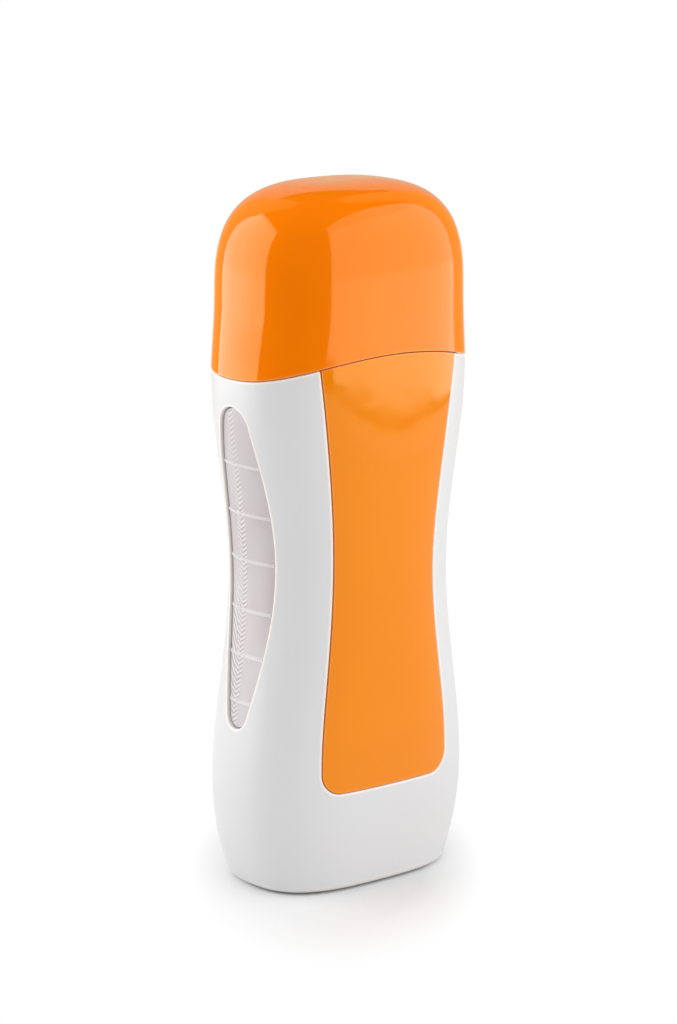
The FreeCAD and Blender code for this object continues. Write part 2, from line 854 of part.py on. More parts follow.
def inlet_mouth():
    """Depth at which the inlet's face lies, a little behind the rear wall."""
    return skin_depth(inlet_half_width(), inlet_height, 0) - inlet_recess


def inlet_outline(grow, depth):
    """Rounded housing, grown by grow, run from the mouth inward by depth."""
    half_width = inlet_half_width() + grow
    half_height = inlet_half_height() + grow
    top = inlet_mouth()
    body = block(
        -half_width, half_width, top - depth, top,
        inlet_height - half_height, inlet_height + half_height,
    )
    along = [e for e in body.Edges if abs(e.tangentAt(e.FirstParameter).y) > 0.9]
    return body.makeFillet(inlet_corner_radius, along)


def inlet_opening():
    hole = inlet_outline(inlet_fit, body_wall * 2)
    return hole.fuse(hole.translated(Y_AXIS * body_wall))


def inlet_pin_places():
    root = inlet_mouth() - inlet_cavity_depth
    return [V(x, root, inlet_height) for x in (-inlet_pin_spacing / 2, inlet_pin_spacing / 2)]


def inlet_socket():
    """Two-pole appliance inlet: a figure-of-eight cavity in a flanged housing."""
    depth = inlet_cavity_depth + inlet_back_thickness
    housing = inlet_outline(0, depth)
    low = inlet_height - inlet_half_height() - inlet_flange_lap
    high = inlet_height + inlet_half_height()
    inside = wall_face(inlet_half_width() + inlet_flange_lap, low, high) - inlet_fit
    flange = inlet_outline(inlet_flange_lap, depth)
    flange = flange.common(block(-FAR / 2, FAR / 2, inside - inlet_flange_thickness, inside, low, high))
    mouth = inlet_mouth()
    lobe_offset = inlet_cavity_half_width - inlet_lobe_radius
    cavity = block(
        -lobe_offset, lobe_offset, mouth - inlet_cavity_depth, mouth,
        inlet_height - inlet_waist_half_height, inlet_height + inlet_waist_half_height,
    )
    lobes = [
        rod(inlet_lobe_radius, V(x, mouth, inlet_height), -Y_AXIS, inlet_cavity_depth)
        for x in (-lobe_offset, lobe_offset)
    ]
    roots = [rod(inlet_pin_root_radius, place, -Y_AXIS, inlet_back_thickness) for place in inlet_pin_places()]
    return refined(housing.fuse(flange).cut([cavity.fuse(lobes)] + roots))


def inlet_pins():
    """Round contact pins with a dome tip, a moulded-in root and a solder tab."""
    pins = []
    for place in inlet_pin_places():
        shaft = rod(inlet_pin_radius, place, Y_AXIS, inlet_pin_length)
        tip = Part.makeCone(
            inlet_pin_radius, inlet_pin_radius / 2, inlet_pin_tip, place + Y_AXIS * inlet_pin_length, Y_AXIS
        )
        root = rod(inlet_pin_root_radius, place, -Y_AXIS, inlet_back_thickness)
        back = place.y - inlet_back_thickness
        tab = block(
            place.x - inlet_tab_width / 2, place.x + inlet_tab_width / 2, back - inlet_tab_length, back,
            place.z - inlet_tab_thickness / 2, place.z + inlet_tab_thickness / 2,
        )
        pins.append(shaft.fuse([tip, root, tab]))
    return Part.makeCompound(pins)


# ---------------------------------------------------- circuit board and lamp
def circuit_board():
    half = board_half_width
    board = block(-half, half, board_front, board_back, board_bottom, board_top)
    pads = [V(x, board_front, lead_pad_height) for x in (-lead_x, lead_x)]
    return board.cut([rod(lead_radius, pad, Y_AXIS, board_thickness) for pad in pads])


def dropper_resistor():
    """Moulded mains resistor block that feeds the lamp."""
    half = resistor_half_width
    case = block(
        resistor_offset - half, resistor_offset + half, board_back, board_back + resistor_height,
        board_bottom + resistor_margin, board_bottom + resistor_margin + resistor_length,
    )
    return case.makeChamfer(resistor_chamfer, [e for e in case.Edges if e.BoundBox.YMin > board_back + 0.1])


def indicator_lamp():
    """Dome-ended lamp standing on the board behind the lens."""
    start = V(0, board_back, lamp_height)
    barrel = rod(lamp_radius, start, Y_AXIS, lamp_length - lamp_radius)
    dome = Part.makeSphere(lamp_radius, start + Y_AXIS * (lamp_length - lamp_radius))
    collar = rod(lamp_radius + lamp_collar_width, start, Y_AXIS, lamp_collar_length)
    half_space = block(-FAR / 2, FAR / 2, board_back, FAR / 2, 0, FAR / 4)
    return refined(barrel.fuse([dome.common(half_space), collar]))


def lens_seat():
    """Depth of the flat seat that the lens's flange lies against."""
    return skin_depth(0, lamp_height, body_wall)


def lens_hole():
    start = V(0, board_back, lamp_height)
    hole = rod(lens_radius + lens_clearance, start, Y_AXIS, FAR / 4)
    spot_face = rod(lens_flange_radius + lens_clearance, start, Y_AXIS, lens_seat() - board_back)
    return hole.fuse(spot_face)


def indicator_lens():
    """Light pipe through the rear wall, held by an inner flange."""
    outer = skin_depth(0, lamp_height, 0) + lens_proud
    inner = lens_seat()
    pipe = rod(lens_radius, V(0, inner, lamp_height), Y_AXIS, outer - inner)
    rim_edge = [e for e in pipe.Edges if e.BoundBox.YMin > outer - 0.01]
    pipe = pipe.makeFillet(lens_proud, rim_edge)
    flange_start = V(0, inner - lens_flange_thickness, lamp_height)
    return refined(pipe.fuse(rod(lens_flange_radius, flange_start, Y_AXIS, lens_flange_thickness)))


# -------------------------------------------------------------- power button
def button_hole():
    return rod(button_radius + button_clearance, V(0, board_back, button_height), Y_AXIS, FAR / 4)


def button_seat():
    """Depth of the outer face of the button's flange when the button is out."""
    low = button_height - button_flange_radius
    high = button_height + button_flange_radius
    return wall_face(button_flange_radius, low, high) - button_stop_gap


def button_back():
    return button_seat() - button_flange_thickness


def power_button():
    """Round push button with a dished face and a flange that keeps it in."""
    face = skin_depth(0, button_height, 0) + button_proud
    back = button_back()
    stem = rod(button_radius, V(0, back, button_height), Y_AXIS, face - back)
    rim_edge = [e for e in stem.Edges if e.BoundBox.YMin > face - 0.01]
    stem = stem.makeFillet(button_edge_radius, rim_edge)
    flange = rod(button_flange_radius, V(0, back, button_height), Y_AXIS, button_flange_thickness)
    dish_centre = V(0, face + button_dish_radius - button_dish_depth, button_height)
    return refined(stem.fuse(flange).cut(Part.makeSphere(button_dish_radius, dish_centre)))


def power_switch():
    """Push switch on the board, with a bore for its plunger."""
    half = switch_half_width
    low = button_height - half
    case = block(-half, half, board_back, board_back + switch_depth, low, low + 2 * half)
    along = [e for e in case.Edges if abs(e.tangentAt(e.FirstParameter).y) > 0.9]
    case = case.makeFillet(switch_corner_radius, along)
    floor = V(0, board_back + switch_floor, button_height)
    bore = rod(plunger_radius + plunger_clearance, floor, Y_AXIS, switch_depth)
    return case.cut(bore)


def switch_plunger():
    start = board_back + switch_floor + plunger_end_gap + button_travel
    return rod(plunger_radius, V(0, start, button_height), Y_AXIS, button_back() - start)


# -------------------------------------------------------------------- leads
def lead(points):
    """Insulated wire: straight runs joined by tangent bends."""
    edges = []
    start = points[0]
    for before, corner, after in zip(points, points[1:], points[2:]):
        back = (before - corner).normalize()
        on = (after - corner).normalize()
        half_turn = (math.pi - back.getAngle(on)) / 2
        trim = max(lead_bend * math.tan(half_turn), lead_least_trim)
        bend = trim / math.tan(half_turn)
        enter = corner + back * trim
        leave = corner + on * trim
        centre = corner + (back + on).normalize() * (bend / math.cos(half_turn))
        middle = centre + (corner - centre).normalize() * bend
        edges.append(line(start, enter))
        edges.append(arc(enter, middle, leave))
        start = leave
    edges.append(line(start, points[-1]))
    path = Part.Wire(edges)
    heading = (points[1] - points[0]).normalize()
    section = Part.Wire([Part.makeCircle(lead_radius, points[0], heading)])
    return path.makePipeShell([section], True, True)


def supply_lead(side):
    """From an inlet tab up to the board."""
    tab_end = inlet_pin_places()[1].y - inlet_back_thickness - inlet_tab_length
    x = side * inlet_pin_spacing / 2
    pad_x = side * (board_half_width - 3 * rail_grip)
    pad_z = board_bottom + 4 * lead_radius
    return lead([
        V(x, tab_end, inlet_height),
        V(x, tab_end - lead_tail, inlet_height),
        V(pad_x, tab_end - lead_tail, pad_z),
        V(pad_x, board_front, pad_z),
    ])


def ptc_tab_depth():
    return plate_face + ptc_thickness / 2


def rear_heater_lead():
    depth = ptc_tab_depth()
    return lead([
        V(lead_x, board_back, lead_pad_height),
        V(lead_x, depth, lead_pad_height),
        V(lead_x, depth, ptc_bottom - lead_cross_over),
        V(ptc_tab_offset, depth, ptc_bottom - ptc_tab_length - lead_entry),
        V(ptc_tab_offset, depth, ptc_bottom - ptc_tab_length),
    ])


def front_heater_lead():
    depth = ptc_tab_depth()
    run = well_floor - well_floor_thickness - lead_under_floor - lead_radius
    return lead([
        V(lead_x, board_front, lead_pad_height),
        V(lead_x, board_front - lead_pad_stub, lead_pad_height),
        V(lead_x, board_front - 2 * lead_pad_stub, run),
        V(lead_x, -depth, run),
        V(lead_x, -depth, ptc_bottom - lead_cross_over),
        V(ptc_tab_offset, -depth, ptc_bottom - ptc_tab_length - lead_entry),
        V(ptc_tab_offset, -depth, ptc_bottom - ptc_tab_length),
    ])


def side_run_depth():
    """Depth of the long lead beside the heater stone, close on the plate's rim."""
    corner = well_half_width - well_corner_radius
    reach = well_corner_radius + well_wall + plate_flange
    rise = math.sqrt(reach**2 - (lead_side_x - corner) ** 2)
    return well_half_depth - well_corner_radius + rise + lead_radius + lead_clearance


def thermostat_leads():
    """One lead down to the board, one short link to the heater stone."""
    depth = ptc_tab_depth()
    out = cutout_half_width / 2
    middle = plate_face + cutout_thickness / 2
    side = side_run_depth()
    long_lead = lead([
        V(-lead_x, board_back, lead_pad_height),
        V(-lead_x, depth, lead_pad_height),
        V(-lead_x, depth, well_floor + lead_floor_margin),
        V(-lead_side_x, depth, well_floor + lead_cross_over),
        V(-lead_side_x, side, ptc_bottom),
        V(-lead_side_x, side, ptc_top - lead_climb),
        V(-lead_side_x + lead_radius, depth, ptc_top),
        V(-out, middle, cutout_bottom - lead_tail),
        V(-out, middle, cutout_bottom),
    ])
    link = lead([
        V(ptc_tab_offset, depth, ptc_top + ptc_tab_length),
        V(ptc_tab_offset, depth, ptc_top + ptc_tab_length + link_entry),
        V(out, middle, cutout_bottom - link_entry),
        V(out, middle, cutout_bottom),
    ])
    return Part.makeCompound([long_lead, link])


def fuse_leads():
    """One lead down to the board, one short link to the heater stone."""
    depth = ptc_tab_depth()
    side = side_run_depth()
    run = well_floor - well_floor_thickness - lead_under_floor - lead_radius
    top = cutout_bottom + fuse_length
    long_lead = lead([
        V(-lead_x, board_front, lead_pad_height),
        V(-lead_x, board_front - lead_pad_stub, lead_pad_height),
        V(-lead_x, board_front - 2 * lead_pad_stub, run),
        V(-lead_x, -depth, run),
        V(-lead_x, -depth, well_floor + lead_floor_margin),
        V(-lead_side_x, -depth, well_floor + lead_cross_over),
        V(-lead_side_x, -side, ptc_bottom),
        V(-lead_side_x, -side, ptc_top - lead_climb),
        V(-lead_side_x + lead_radius, -depth, ptc_top),
        V(0, fuse_axis(), cutout_bottom - lead_tail),
        V(0, fuse_axis(), cutout_bottom),
    ])
    link = lead([
        V(ptc_tab_offset, -depth, ptc_top + ptc_tab_length),
        V(ptc_tab_offset, -depth, top),
        V(ptc_tab_offset / 2, fuse_axis(), top + lead_tail),
        V(0, fuse_axis(), top + lead_entry),
        V(0, fuse_axis(), top),
    ])
    return Part.makeCompound([long_lead, link])


NODES = {
    "cap": cap,
    "body_shell": body_shell,
    "front_panel": front_panel,
    "rear_panel": rear_panel,
    "left_window": left_window,
    "right_window": right_window,
    "base_cover": base_cover,
    "rubber_feet": rubber_feet,
    "base_screws": base_screws,
    "cartridge_well": cartridge_well,
    "well_screws": well_screws,
    "rear_heater_plate": rear_heater_plate,
    "front_heater_plate": lambda: mirrored_y(rear_heater_plate()),
    "rear_ptc_heater": rear_ptc_heater,
    "front_ptc_heater": lambda: mirrored_y(rear_ptc_heater()),
    "rear_ptc_clamp": rear_ptc_clamp,
    "front_ptc_clamp": lambda: mirrored_y(rear_ptc_clamp()),
    "clamp_rivets": clamp_rivets,
    "thermostat": thermostat,
    "thermal_fuse": thermal_fuse,
    "inlet_socket": inlet_socket,
    "inlet_pins": inlet_pins,
    "circuit_board": circuit_board,
    "dropper_resistor": dropper_resistor,
    "indicator_lamp": indicator_lamp,
    "indicator_lens": indicator_lens,
    "power_button": power_button,
    "power_switch": power_switch,
    "switch_plunger": switch_plunger,
    "live_lead": lambda: supply_lead(1),
    "neutral_lead": lambda: supply_lead(-1),
    "rear_heater_lead": rear_heater_lead,
    "front_heater_lead": front_heater_lead,
    "thermostat_leads": thermostat_leads,
    "fuse_leads": fuse_leads,
}


def main():
    os.makedirs("parts", exist_ok=True)
    for name, build in NODES.items():
        shape = build()
        if not shape.isValid():
            raise RuntimeError(f"{name} is not a valid shape")
        shape.exportStep(f"parts/{name}.step")
        print(f"{name}: {len(shape.Solids)} solids, {shape.Volume:.1f} mm3")


main()
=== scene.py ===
"""Finishes, stage and camera for a hand-held roll-on wax heater.

Metres, +Z up, the heater standing on the floor at the origin. The front is -Y,
the level windows look out at -X and +X, and the inlet and button are at +Y.
"""

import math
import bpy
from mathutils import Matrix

bl_info = {
    "name": "Roll-on Wax Heater",
    "version": (1, 0, 0),
    "blender": (4, 5, 0),
    "location": "3D View > Sidebar > Wax Heater",
    "description": "Gives each piece of the heater its finish, and sets the stage and the camera",
    "category": "Object",
}

import bpy
from mathutils import Quaternion, Vector

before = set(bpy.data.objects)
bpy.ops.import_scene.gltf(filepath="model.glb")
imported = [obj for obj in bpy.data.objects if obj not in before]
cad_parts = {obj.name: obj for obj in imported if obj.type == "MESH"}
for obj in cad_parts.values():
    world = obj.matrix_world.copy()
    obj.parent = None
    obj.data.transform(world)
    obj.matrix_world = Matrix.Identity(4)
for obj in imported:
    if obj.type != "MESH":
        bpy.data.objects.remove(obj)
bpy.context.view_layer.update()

MM = 0.001
VIEW_AZIMUTH = math.radians(-38.48)
VIEW_ELEVATION = math.radians(12.8)
VIEW_ROLL = math.radians(0.31)

# bearings are degrees round from straight away from the camera, towards its left
FRONT_BEARING = -105.0
FRONT_DISTANCE = 0.47
SIDE_BEARING = 88.0
SIDE_DISTANCE = 0.5
BOUNCE_BEARING = 180.0
BOUNCE_DISTANCE = 0.9
BLACK_CARD = (119.0, 213.0)
GOLD_CARDS = ((26.0, 57.0), (-57.0, -26.0))
CARD_TOP = 1.7
CEILING_RADIUS = 1.75
TOP_LIGHT_WIDTH = 1.6
TOP_LIGHT_HEIGHT = 1.4
# where the floor beside the heater starts and ends turning to plain white, in millimetres
FADE_START = 25.0
FADE_END = 42.0
# the window's level ribs and moulded chevrons, in millimetres; real chevrons lie about 1 mm
# apart and steeper, and are drawn coarser and flatter so that their strokes show whole
LEVEL_RIBS = (55.0, 68.1, 81.0, 95.3, 108.7, 122.9)
RIB_REACH = 0.4
CHEVRON_LINE = 2.6
CHEVRON_PITCH = 1.35
CHEVRON_SLOPE = 0.65
CHEVRON_DEPTH = 0.12
STROKE_PITCH = 1.9
STROKE_SLOPE = 0.8
# the dark strip along the front softbox's foot, painted shade seen only in reflections: distance along
# the softbox, and the heights of its lower and upper edges
FOOT_STRIP = (
    (-0.470, 0.001, 0.008), (-0.350, 0.002, 0.009), (-0.310, 0.0045, 0.0105), (-0.260, 0.0085, 0.0145),
    (-0.200, 0.0135, 0.0195), (-0.150, 0.017, 0.023), (-0.100, 0.0185, 0.0245), (-0.050, 0.018, 0.024),
    (0.000, 0.0155, 0.0215), (0.050, 0.0150, 0.0210), (0.100, 0.0135, 0.0195), (0.150, 0.0105, 0.0165),
    (0.200, 0.0075, 0.0135), (0.250, 0.0050, 0.0110), (0.295, 0.003, 0.010), (0.310, 0.001, 0.023),
    (0.430, 0.001, 0.023),
)


# ------------------------------------------------------------------- helpers
def linear(hex_colour):
    """The linear colour of an sRGB hex value."""
    channels = []
    for i in (1, 3, 5):
        value = int(hex_colour[i:i + 2], 16) / 255
        channels.append(value / 12.92 if value <= 0.04045 else ((value + 0.055) / 1.055) ** 2.4)
    return tuple(channels)


def add(tree, kind, inputs=None, **settings):
    """Adds a node with its settings, and sets or links its inputs."""
    made = tree.nodes.new(kind)
    for name, value in settings.items():
        setattr(made, name, value)
    for name, value in (inputs or {}).items():
        if isinstance(value, bpy.types.NodeSocket):
            tree.links.new(value, made.inputs[name])
        else:
            made.inputs[name].default_value = value
    return made


def opaque(colour):
    return (*colour, 1.0)


def surface(name, **constants):
    """A new material, its node tree and its shader, with the even values set on the shader."""
    material = bpy.data.materials.new(name)
    material.use_nodes = True
    tree = material.node_tree
    shader = tree.nodes["Principled BSDF"]
    for socket, value in constants.items():
        shader.inputs[socket.replace("_", " ")].default_value = value
    return material, tree, shader


def millimetres(tree):
    """The surface point in millimetres, fixed to the piece."""
    place = add(tree, "ShaderNodeTexCoord")
    scaled = add(tree, "ShaderNodeVectorMath", {0: place.outputs["Object"]}, operation="SCALE")
    scaled.inputs["Scale"].default_value = 1 / MM
    return scaled.outputs["Vector"]


def mottle(tree, point, size, low, high, detail=2.0):
    """Noise with features of the given size in millimetres, run between two values."""
    noise = add(tree, "ShaderNodeTexNoise", {"Vector": point, "Scale": 1 / size, "Detail": detail})
    run = add(tree, "ShaderNodeMapRange", {
        "Value": noise.outputs["Fac"], "From Min": 0.3, "From Max": 0.7, "To Min": low, "To Max": high,
    })
    return run.outputs["Result"]


def two_tone(tree, factor, first, second):
    """A colour between two, by factor."""
    blend = add(tree, "ShaderNodeMix", {"Factor": factor}, data_type="RGBA")
    blend.inputs["A"].default_value = opaque(first)
    blend.inputs["B"].default_value = opaque(second)
    return blend.outputs["Result"]


def eased_edges(tree, radius):
    """A normal that rounds the piece's edges by a radius in millimetres."""
    return add(tree, "ShaderNodeBevel", {"Radius": radius * MM}, samples=6).outputs["Normal"]


def edge_highlighted(tree, tone, edge, reach):
    """A tone that turns paler over a reach in millimetres at the edges: a painted highlight where rounded
    edges catch light, which also paints light over the shade on the walls of narrow gaps.
    """
    rounded = eased_edges(tree, reach)
    plain = add(tree, "ShaderNodeNewGeometry")
    match = add(tree, "ShaderNodeVectorMath", {0: rounded, 1: plain.outputs["Normal"]},
                operation="DOT_PRODUCT")
    near = add(tree, "ShaderNodeMapRange", {
        "Value": match.outputs["Value"], "From Min": 1.0, "From Max": 0.98, "To Min": 0.0, "To Max": 1.0,
    })
    highlighted = add(tree, "ShaderNodeMix", {"Factor": near.outputs["Result"], "A": tone}, data_type="RGBA")
    highlighted.inputs["B"].default_value = opaque(edge)
    return highlighted.outputs["Result"]


def relief(tree, height, depth, normal=None):
    """A normal that follows a height, whose full swing is depth in millimetres."""
    inputs = {"Height": height, "Distance": depth * MM}
    if normal is not None:
        inputs["Normal"] = normal
    return add(tree, "ShaderNodeBump", inputs).outputs["Normal"]


def wave(tree, place, pitch):
    """A sine along a place in millimetres, with the given pitch."""
    turn = add(tree, "ShaderNodeMath", {0: place, 1: 2 * math.pi / pitch}, operation="MULTIPLY")
    return add(tree, "ShaderNodeMath", {0: turn.outputs["Value"]}, operation="SINE").outputs["Value"]


def dress(material, *names):
    """Puts the material on CAD nodes; a name that isn't there raises a KeyError."""
    for name in names:
        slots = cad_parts[name].data.materials
        slots.clear()
        slots.append(material)


# ----------------------------------------------------------------- materials
def mirror_moulded_abs(name, colour, deep, edge, roughness, waviness, gloss):
    """ABS from a polished mould: a hard gloss, warmed by dense pigment under it, very slightly wavy."""
    material, tree, shader = surface(
        name, IOR=1.53, Specular_IOR_Level=gloss, Sheen_Weight=0.3, Sheen_Roughness=0.35,
    )
    shader.inputs["Specular Tint"].default_value = opaque(linear("#FFE8A8"))
    # light that passes through the thin skin leaves amber where it is seen edge-on
    shader.inputs["Sheen Tint"].default_value = opaque(linear("#FFD040"))
    point = millimetres(tree)
    tone = two_tone(tree, mottle(tree, point, 38.0, 0.0, 1.0), colour, deep)
    # painted highlight: the edges are drawn in a paler orange, as where rounded edges catch light
    tree.links.new(edge_highlighted(tree, tone, edge, reach=0.7), shader.inputs["Base Color"])
    haze = mottle(tree, point, 9.0, roughness * 0.85, roughness * 1.15)
    tree.links.new(haze, shader.inputs["Roughness"])
    # sink marks and flow leave ripples some 20 mm long
    ripple = mottle(tree, point, 20.0, 0.0, 1.0, detail=0.0)
    tree.links.new(relief(tree, ripple, waviness, eased_edges(tree, 0.15)), shader.inputs["Normal"])
    return material


def spark_textured_abs(name, colour, shade, edge, roughness):
    """ABS from a spark-eroded mould: satin, with a grain too fine to see one by one."""
    material, tree, shader = surface(name, IOR=1.53)
    point = millimetres(tree)
    tone = two_tone(tree, mottle(tree, point, 45.0, 0.0, 1.0), colour, shade)
    # painted highlight: the edges are drawn paler, as where rounded edges catch light, which also paints
    # light over the shade in narrow gaps
    tree.links.new(edge_highlighted(tree, tone, edge, reach=1.1), shader.inputs["Base Color"])
    tree.links.new(mottle(tree, point, 14.0, roughness - 0.03, roughness + 0.03), shader.inputs["Roughness"])
    # the real grain is about 0.05 mm across; 0.35 mm is the finest that shows
    grain = mottle(tree, point, 0.35, 0.0, 1.0, detail=1.0)
    tree.links.new(relief(tree, grain, 0.004), shader.inputs["Normal"])
    return material


def ridged_polycarbonate(name, colour, shade, ridge, clarity, roughness):
    """Clear polycarbonate with level marks and fine moulded chevrons, so it looks misty and greyish pink."""
    material, tree, shader = surface(name, IOR=1.585)
    shader.inputs["Transmission Weight"].default_value = clarity
    point = millimetres(tree)
    tone = two_tone(tree, mottle(tree, point, 16.0, 0.0, 1.0), colour, shade)
    haze = mottle(tree, point, 12.0, roughness - 0.02, roughness + 0.02, detail=0.0)
    tree.links.new(haze, shader.inputs["Roughness"])
    axes = add(tree, "ShaderNodeSeparateXYZ", {"Vector": point})
    # the chevrons run down a strip a little behind the middle
    across = add(tree, "ShaderNodeMath", {0: axes.outputs["Y"], 1: CHEVRON_LINE}, operation="SUBTRACT")
    away = add(tree, "ShaderNodeMath", {0: across.outputs["Value"]}, operation="ABSOLUTE")
    slope = add(tree, "ShaderNodeMath", {0: away.outputs["Value"], 1: -CHEVRON_SLOPE, 2: axes.outputs["Z"]},
                operation="MULTIPLY_ADD")
    chevron = wave(tree, slope.outputs["Value"], CHEVRON_PITCH)
    strip = add(tree, "ShaderNodeMapRange", {
        "Value": away.outputs["Value"], "From Min": 1.6, "From Max": 2.3, "To Min": 1.0, "To Max": 0.0,
    })
    fainter = add(tree, "ShaderNodeMapRange", {
        "Value": axes.outputs["Z"], "From Min": 100.0, "From Max": 124.0, "To Min": 0.75, "To Max": 0.2,
    })
    patch = add(tree, "ShaderNodeMath", {0: strip.outputs["Result"], 1: fainter.outputs["Result"]},
                operation="MULTIPLY")
    # steep strokes lie behind the strip, in its lower half
    lean = add(tree, "ShaderNodeMath", {0: axes.outputs["Z"], 1: STROKE_SLOPE}, operation="MULTIPLY")
    steep = add(tree, "ShaderNodeMath", {0: lean.outputs["Value"], 1: across.outputs["Value"]},
                operation="SUBTRACT")
    stroke = wave(tree, steep.outputs["Value"], STROKE_PITCH)
    behind = add(tree, "ShaderNodeMath", {0: across.outputs["Value"], 1: 3.3, 2: 1.5}, operation="COMPARE")
    lower = add(tree, "ShaderNodeMapRange", {
        "Value": axes.outputs["Z"], "From Min": 74.0, "From Max": 92.0, "To Min": 1.0, "To Max": 0.0,
    })
    share = add(tree, "ShaderNodeMath", {0: behind.outputs["Value"], 1: lower.outputs["Result"]},
                operation="MULTIPLY")
    strokes = add(tree, "ShaderNodeMath", {0: stroke, 1: share.outputs["Value"]}, operation="MULTIPLY")
    height = add(tree, "ShaderNodeMath", {0: chevron, 1: patch.outputs["Value"], 2: strokes.outputs["Value"]},
                 operation="MULTIPLY_ADD")
    # painted highlight: the crests and the level marks are drawn in a paler tint, for the light that they
    # scatter more than the flat pane does
    crest = add(tree, "ShaderNodeMapRange", {
        "Value": height.outputs["Value"], "From Min": -0.1, "From Max": 0.6, "To Min": 0.0, "To Max": 1.0,
    })
    mark = level_marks(tree, axes.outputs["Z"])
    lit = add(tree, "ShaderNodeMath", {0: crest.outputs["Result"], 1: mark}, operation="MAXIMUM")
    lined = add(tree, "ShaderNodeMix", {"Factor": lit.outputs["Value"], "A": tone}, data_type="RGBA")
    lined.inputs["B"].default_value = opaque(ridge)
    # light gathers at the pane's edges
    tree.links.new(edge_highlighted(tree, lined.outputs["Result"], ridge, reach=0.5), shader.inputs["Base Color"])
    tree.links.new(relief(tree, height.outputs["Value"], CHEVRON_DEPTH), shader.inputs["Normal"])
    return material


def level_marks(tree, level):
    """How much the window's six level ribs show as painted highlight: a share on each, and 0 between them."""
    nearest = None
    for rib in LEVEL_RIBS:
        near = add(tree, "ShaderNodeMath", {0: level, 1: rib, 2: RIB_REACH}, operation="COMPARE")
        if nearest is None:
            nearest = near
        else:
            nearest = add(tree, "ShaderNodeMath", {0: nearest.outputs["Value"], 1: near.outputs["Value"]},
                          operation="MAXIMUM")
    share = add(tree, "ShaderNodeMath", {0: nearest.outputs["Value"], 1: 0.55}, operation="MULTIPLY")
    return share.outputs["Value"]


def moulded_nylon(name, colour, shade, roughness):
    """Glass-filled nylon: matt and a little cloudy where the fibres come up."""
    material, tree, shader = surface(name, IOR=1.53)
    point = millimetres(tree)
    tone = two_tone(tree, mottle(tree, point, 5.0, 0.0, 1.0, detail=4.0), colour, shade)
    tree.links.new(tone, shader.inputs["Base Color"])
    tree.links.new(mottle(tree, point, 3.0, roughness - 0.06, roughness + 0.06), shader.inputs["Roughness"])
    fibre = mottle(tree, point, 0.5, 0.0, 1.0)
    tree.links.new(relief(tree, fibre, 0.006, eased_edges(tree, 0.15)), shader.inputs["Normal"])
    return material


def rolled_metal(name, colour, shade, roughness, line):
    """Sheet metal with fine rolling lines along its height."""
    material, tree, shader = surface(name, Metallic=1.0)
    point = millimetres(tree)
    drawn = add(tree, "ShaderNodeVectorMath", {0: point, 1: (1.0, 1.0, 0.04)}, operation="MULTIPLY")
    lines = mottle(tree, drawn.outputs["Vector"], line, 0.0, 1.0, detail=3.0)
    tree.links.new(two_tone(tree, lines, colour, shade), shader.inputs["Base Color"])
    tree.links.new(mottle(tree, point, 4.0, roughness - 0.05, roughness + 0.08), shader.inputs["Roughness"])
    tree.links.new(relief(tree, lines, 0.004, eased_edges(tree, 0.1)), shader.inputs["Normal"])
    return material


def plated_metal(name, colour, shade, roughness):
    """Electroplated metal: bright, with faint cloudy patches in the plating."""
    material, tree, shader = surface(name, Metallic=1.0)
    point = millimetres(tree)
    tone = two_tone(tree, mottle(tree, point, 1.6, 0.0, 1.0), colour, shade)
    tree.links.new(tone, shader.inputs["Base Color"])
    tree.links.new(mottle(tree, point, 1.0, roughness - 0.04, roughness + 0.06), shader.inputs["Roughness"])
    tree.links.new(eased_edges(tree, 0.1), shader.inputs["Normal"])
    return material


def speckled(name, colour, shade, size, roughness, ior, depth):
    """Fired, pressed or laminated stuff with a speckle of a given size in millimetres."""
    material, tree, shader = surface(name, IOR=ior)
    point = millimetres(tree)
    speck = mottle(tree, point, size, 0.0, 1.0, detail=5.0)
    tree.links.new(two_tone(tree, speck, colour, shade), shader.inputs["Base Color"])
    haze = mottle(tree, point, 3 * size, roughness - 0.06, roughness + 0.06)
    tree.links.new(haze, shader.inputs["Roughness"])
    tree.links.new(relief(tree, speck, depth, eased_edges(tree, 0.1)), shader.inputs["Normal"])
    return material


def clear_cast(name, colour, shade, clarity, roughness):
    """Tinted resin or acrylic that light passes into, as lamps and light pipes have."""
    material, tree, shader = surface(name, IOR=1.49)
    shader.inputs["Transmission Weight"].default_value = clarity
    point = millimetres(tree)
    tone = two_tone(tree, mottle(tree, point, 1.5, 0.0, 1.0), colour, shade)
    tree.links.new(tone, shader.inputs["Base Color"])
    tree.links.new(mottle(tree, point, 1.0, roughness - 0.03, roughness + 0.03), shader.inputs["Roughness"])
    return material


def extruded_jacket(name, colour, shade, roughness):
    """Extruded insulation: an even skin with faint drag marks along it."""
    material, tree, shader = surface(name, IOR=1.52)
    point = millimetres(tree)
    tone = two_tone(tree, mottle(tree, point, 3.0, 0.0, 1.0), colour, shade)
    tree.links.new(tone, shader.inputs["Base Color"])
    tree.links.new(mottle(tree, point, 1.2, roughness - 0.05, roughness + 0.05), shader.inputs["Roughness"])
    drag = mottle(tree, point, 0.4, 0.0, 1.0)
    tree.links.new(relief(tree, drag, 0.01), shader.inputs["Normal"])
    return material


def braided_sleeve(name, colour, shade, pitch):
    """Woven glass sleeving: crossed threads, drawn coarser than real so that they show."""
    material, tree, shader = surface(name, IOR=1.5, Roughness=0.7)
    point = millimetres(tree)
    waves = []
    for lean in (1.0, -1.0):
        turned = add(tree, "ShaderNodeVectorMath", {0: point, 1: (lean, lean, 1.0)}, operation="DOT_PRODUCT")
        waves.append(wave(tree, turned.outputs["Value"], pitch))
    over = add(tree, "ShaderNodeMath", {0: waves[0], 1: waves[1]}, operation="MAXIMUM")
    tree.links.new(two_tone(tree, over.outputs["Value"], shade, colour), shader.inputs["Base Color"])
    tree.links.new(relief(tree, over.outputs["Value"], 0.05), shader.inputs["Normal"])
    return material


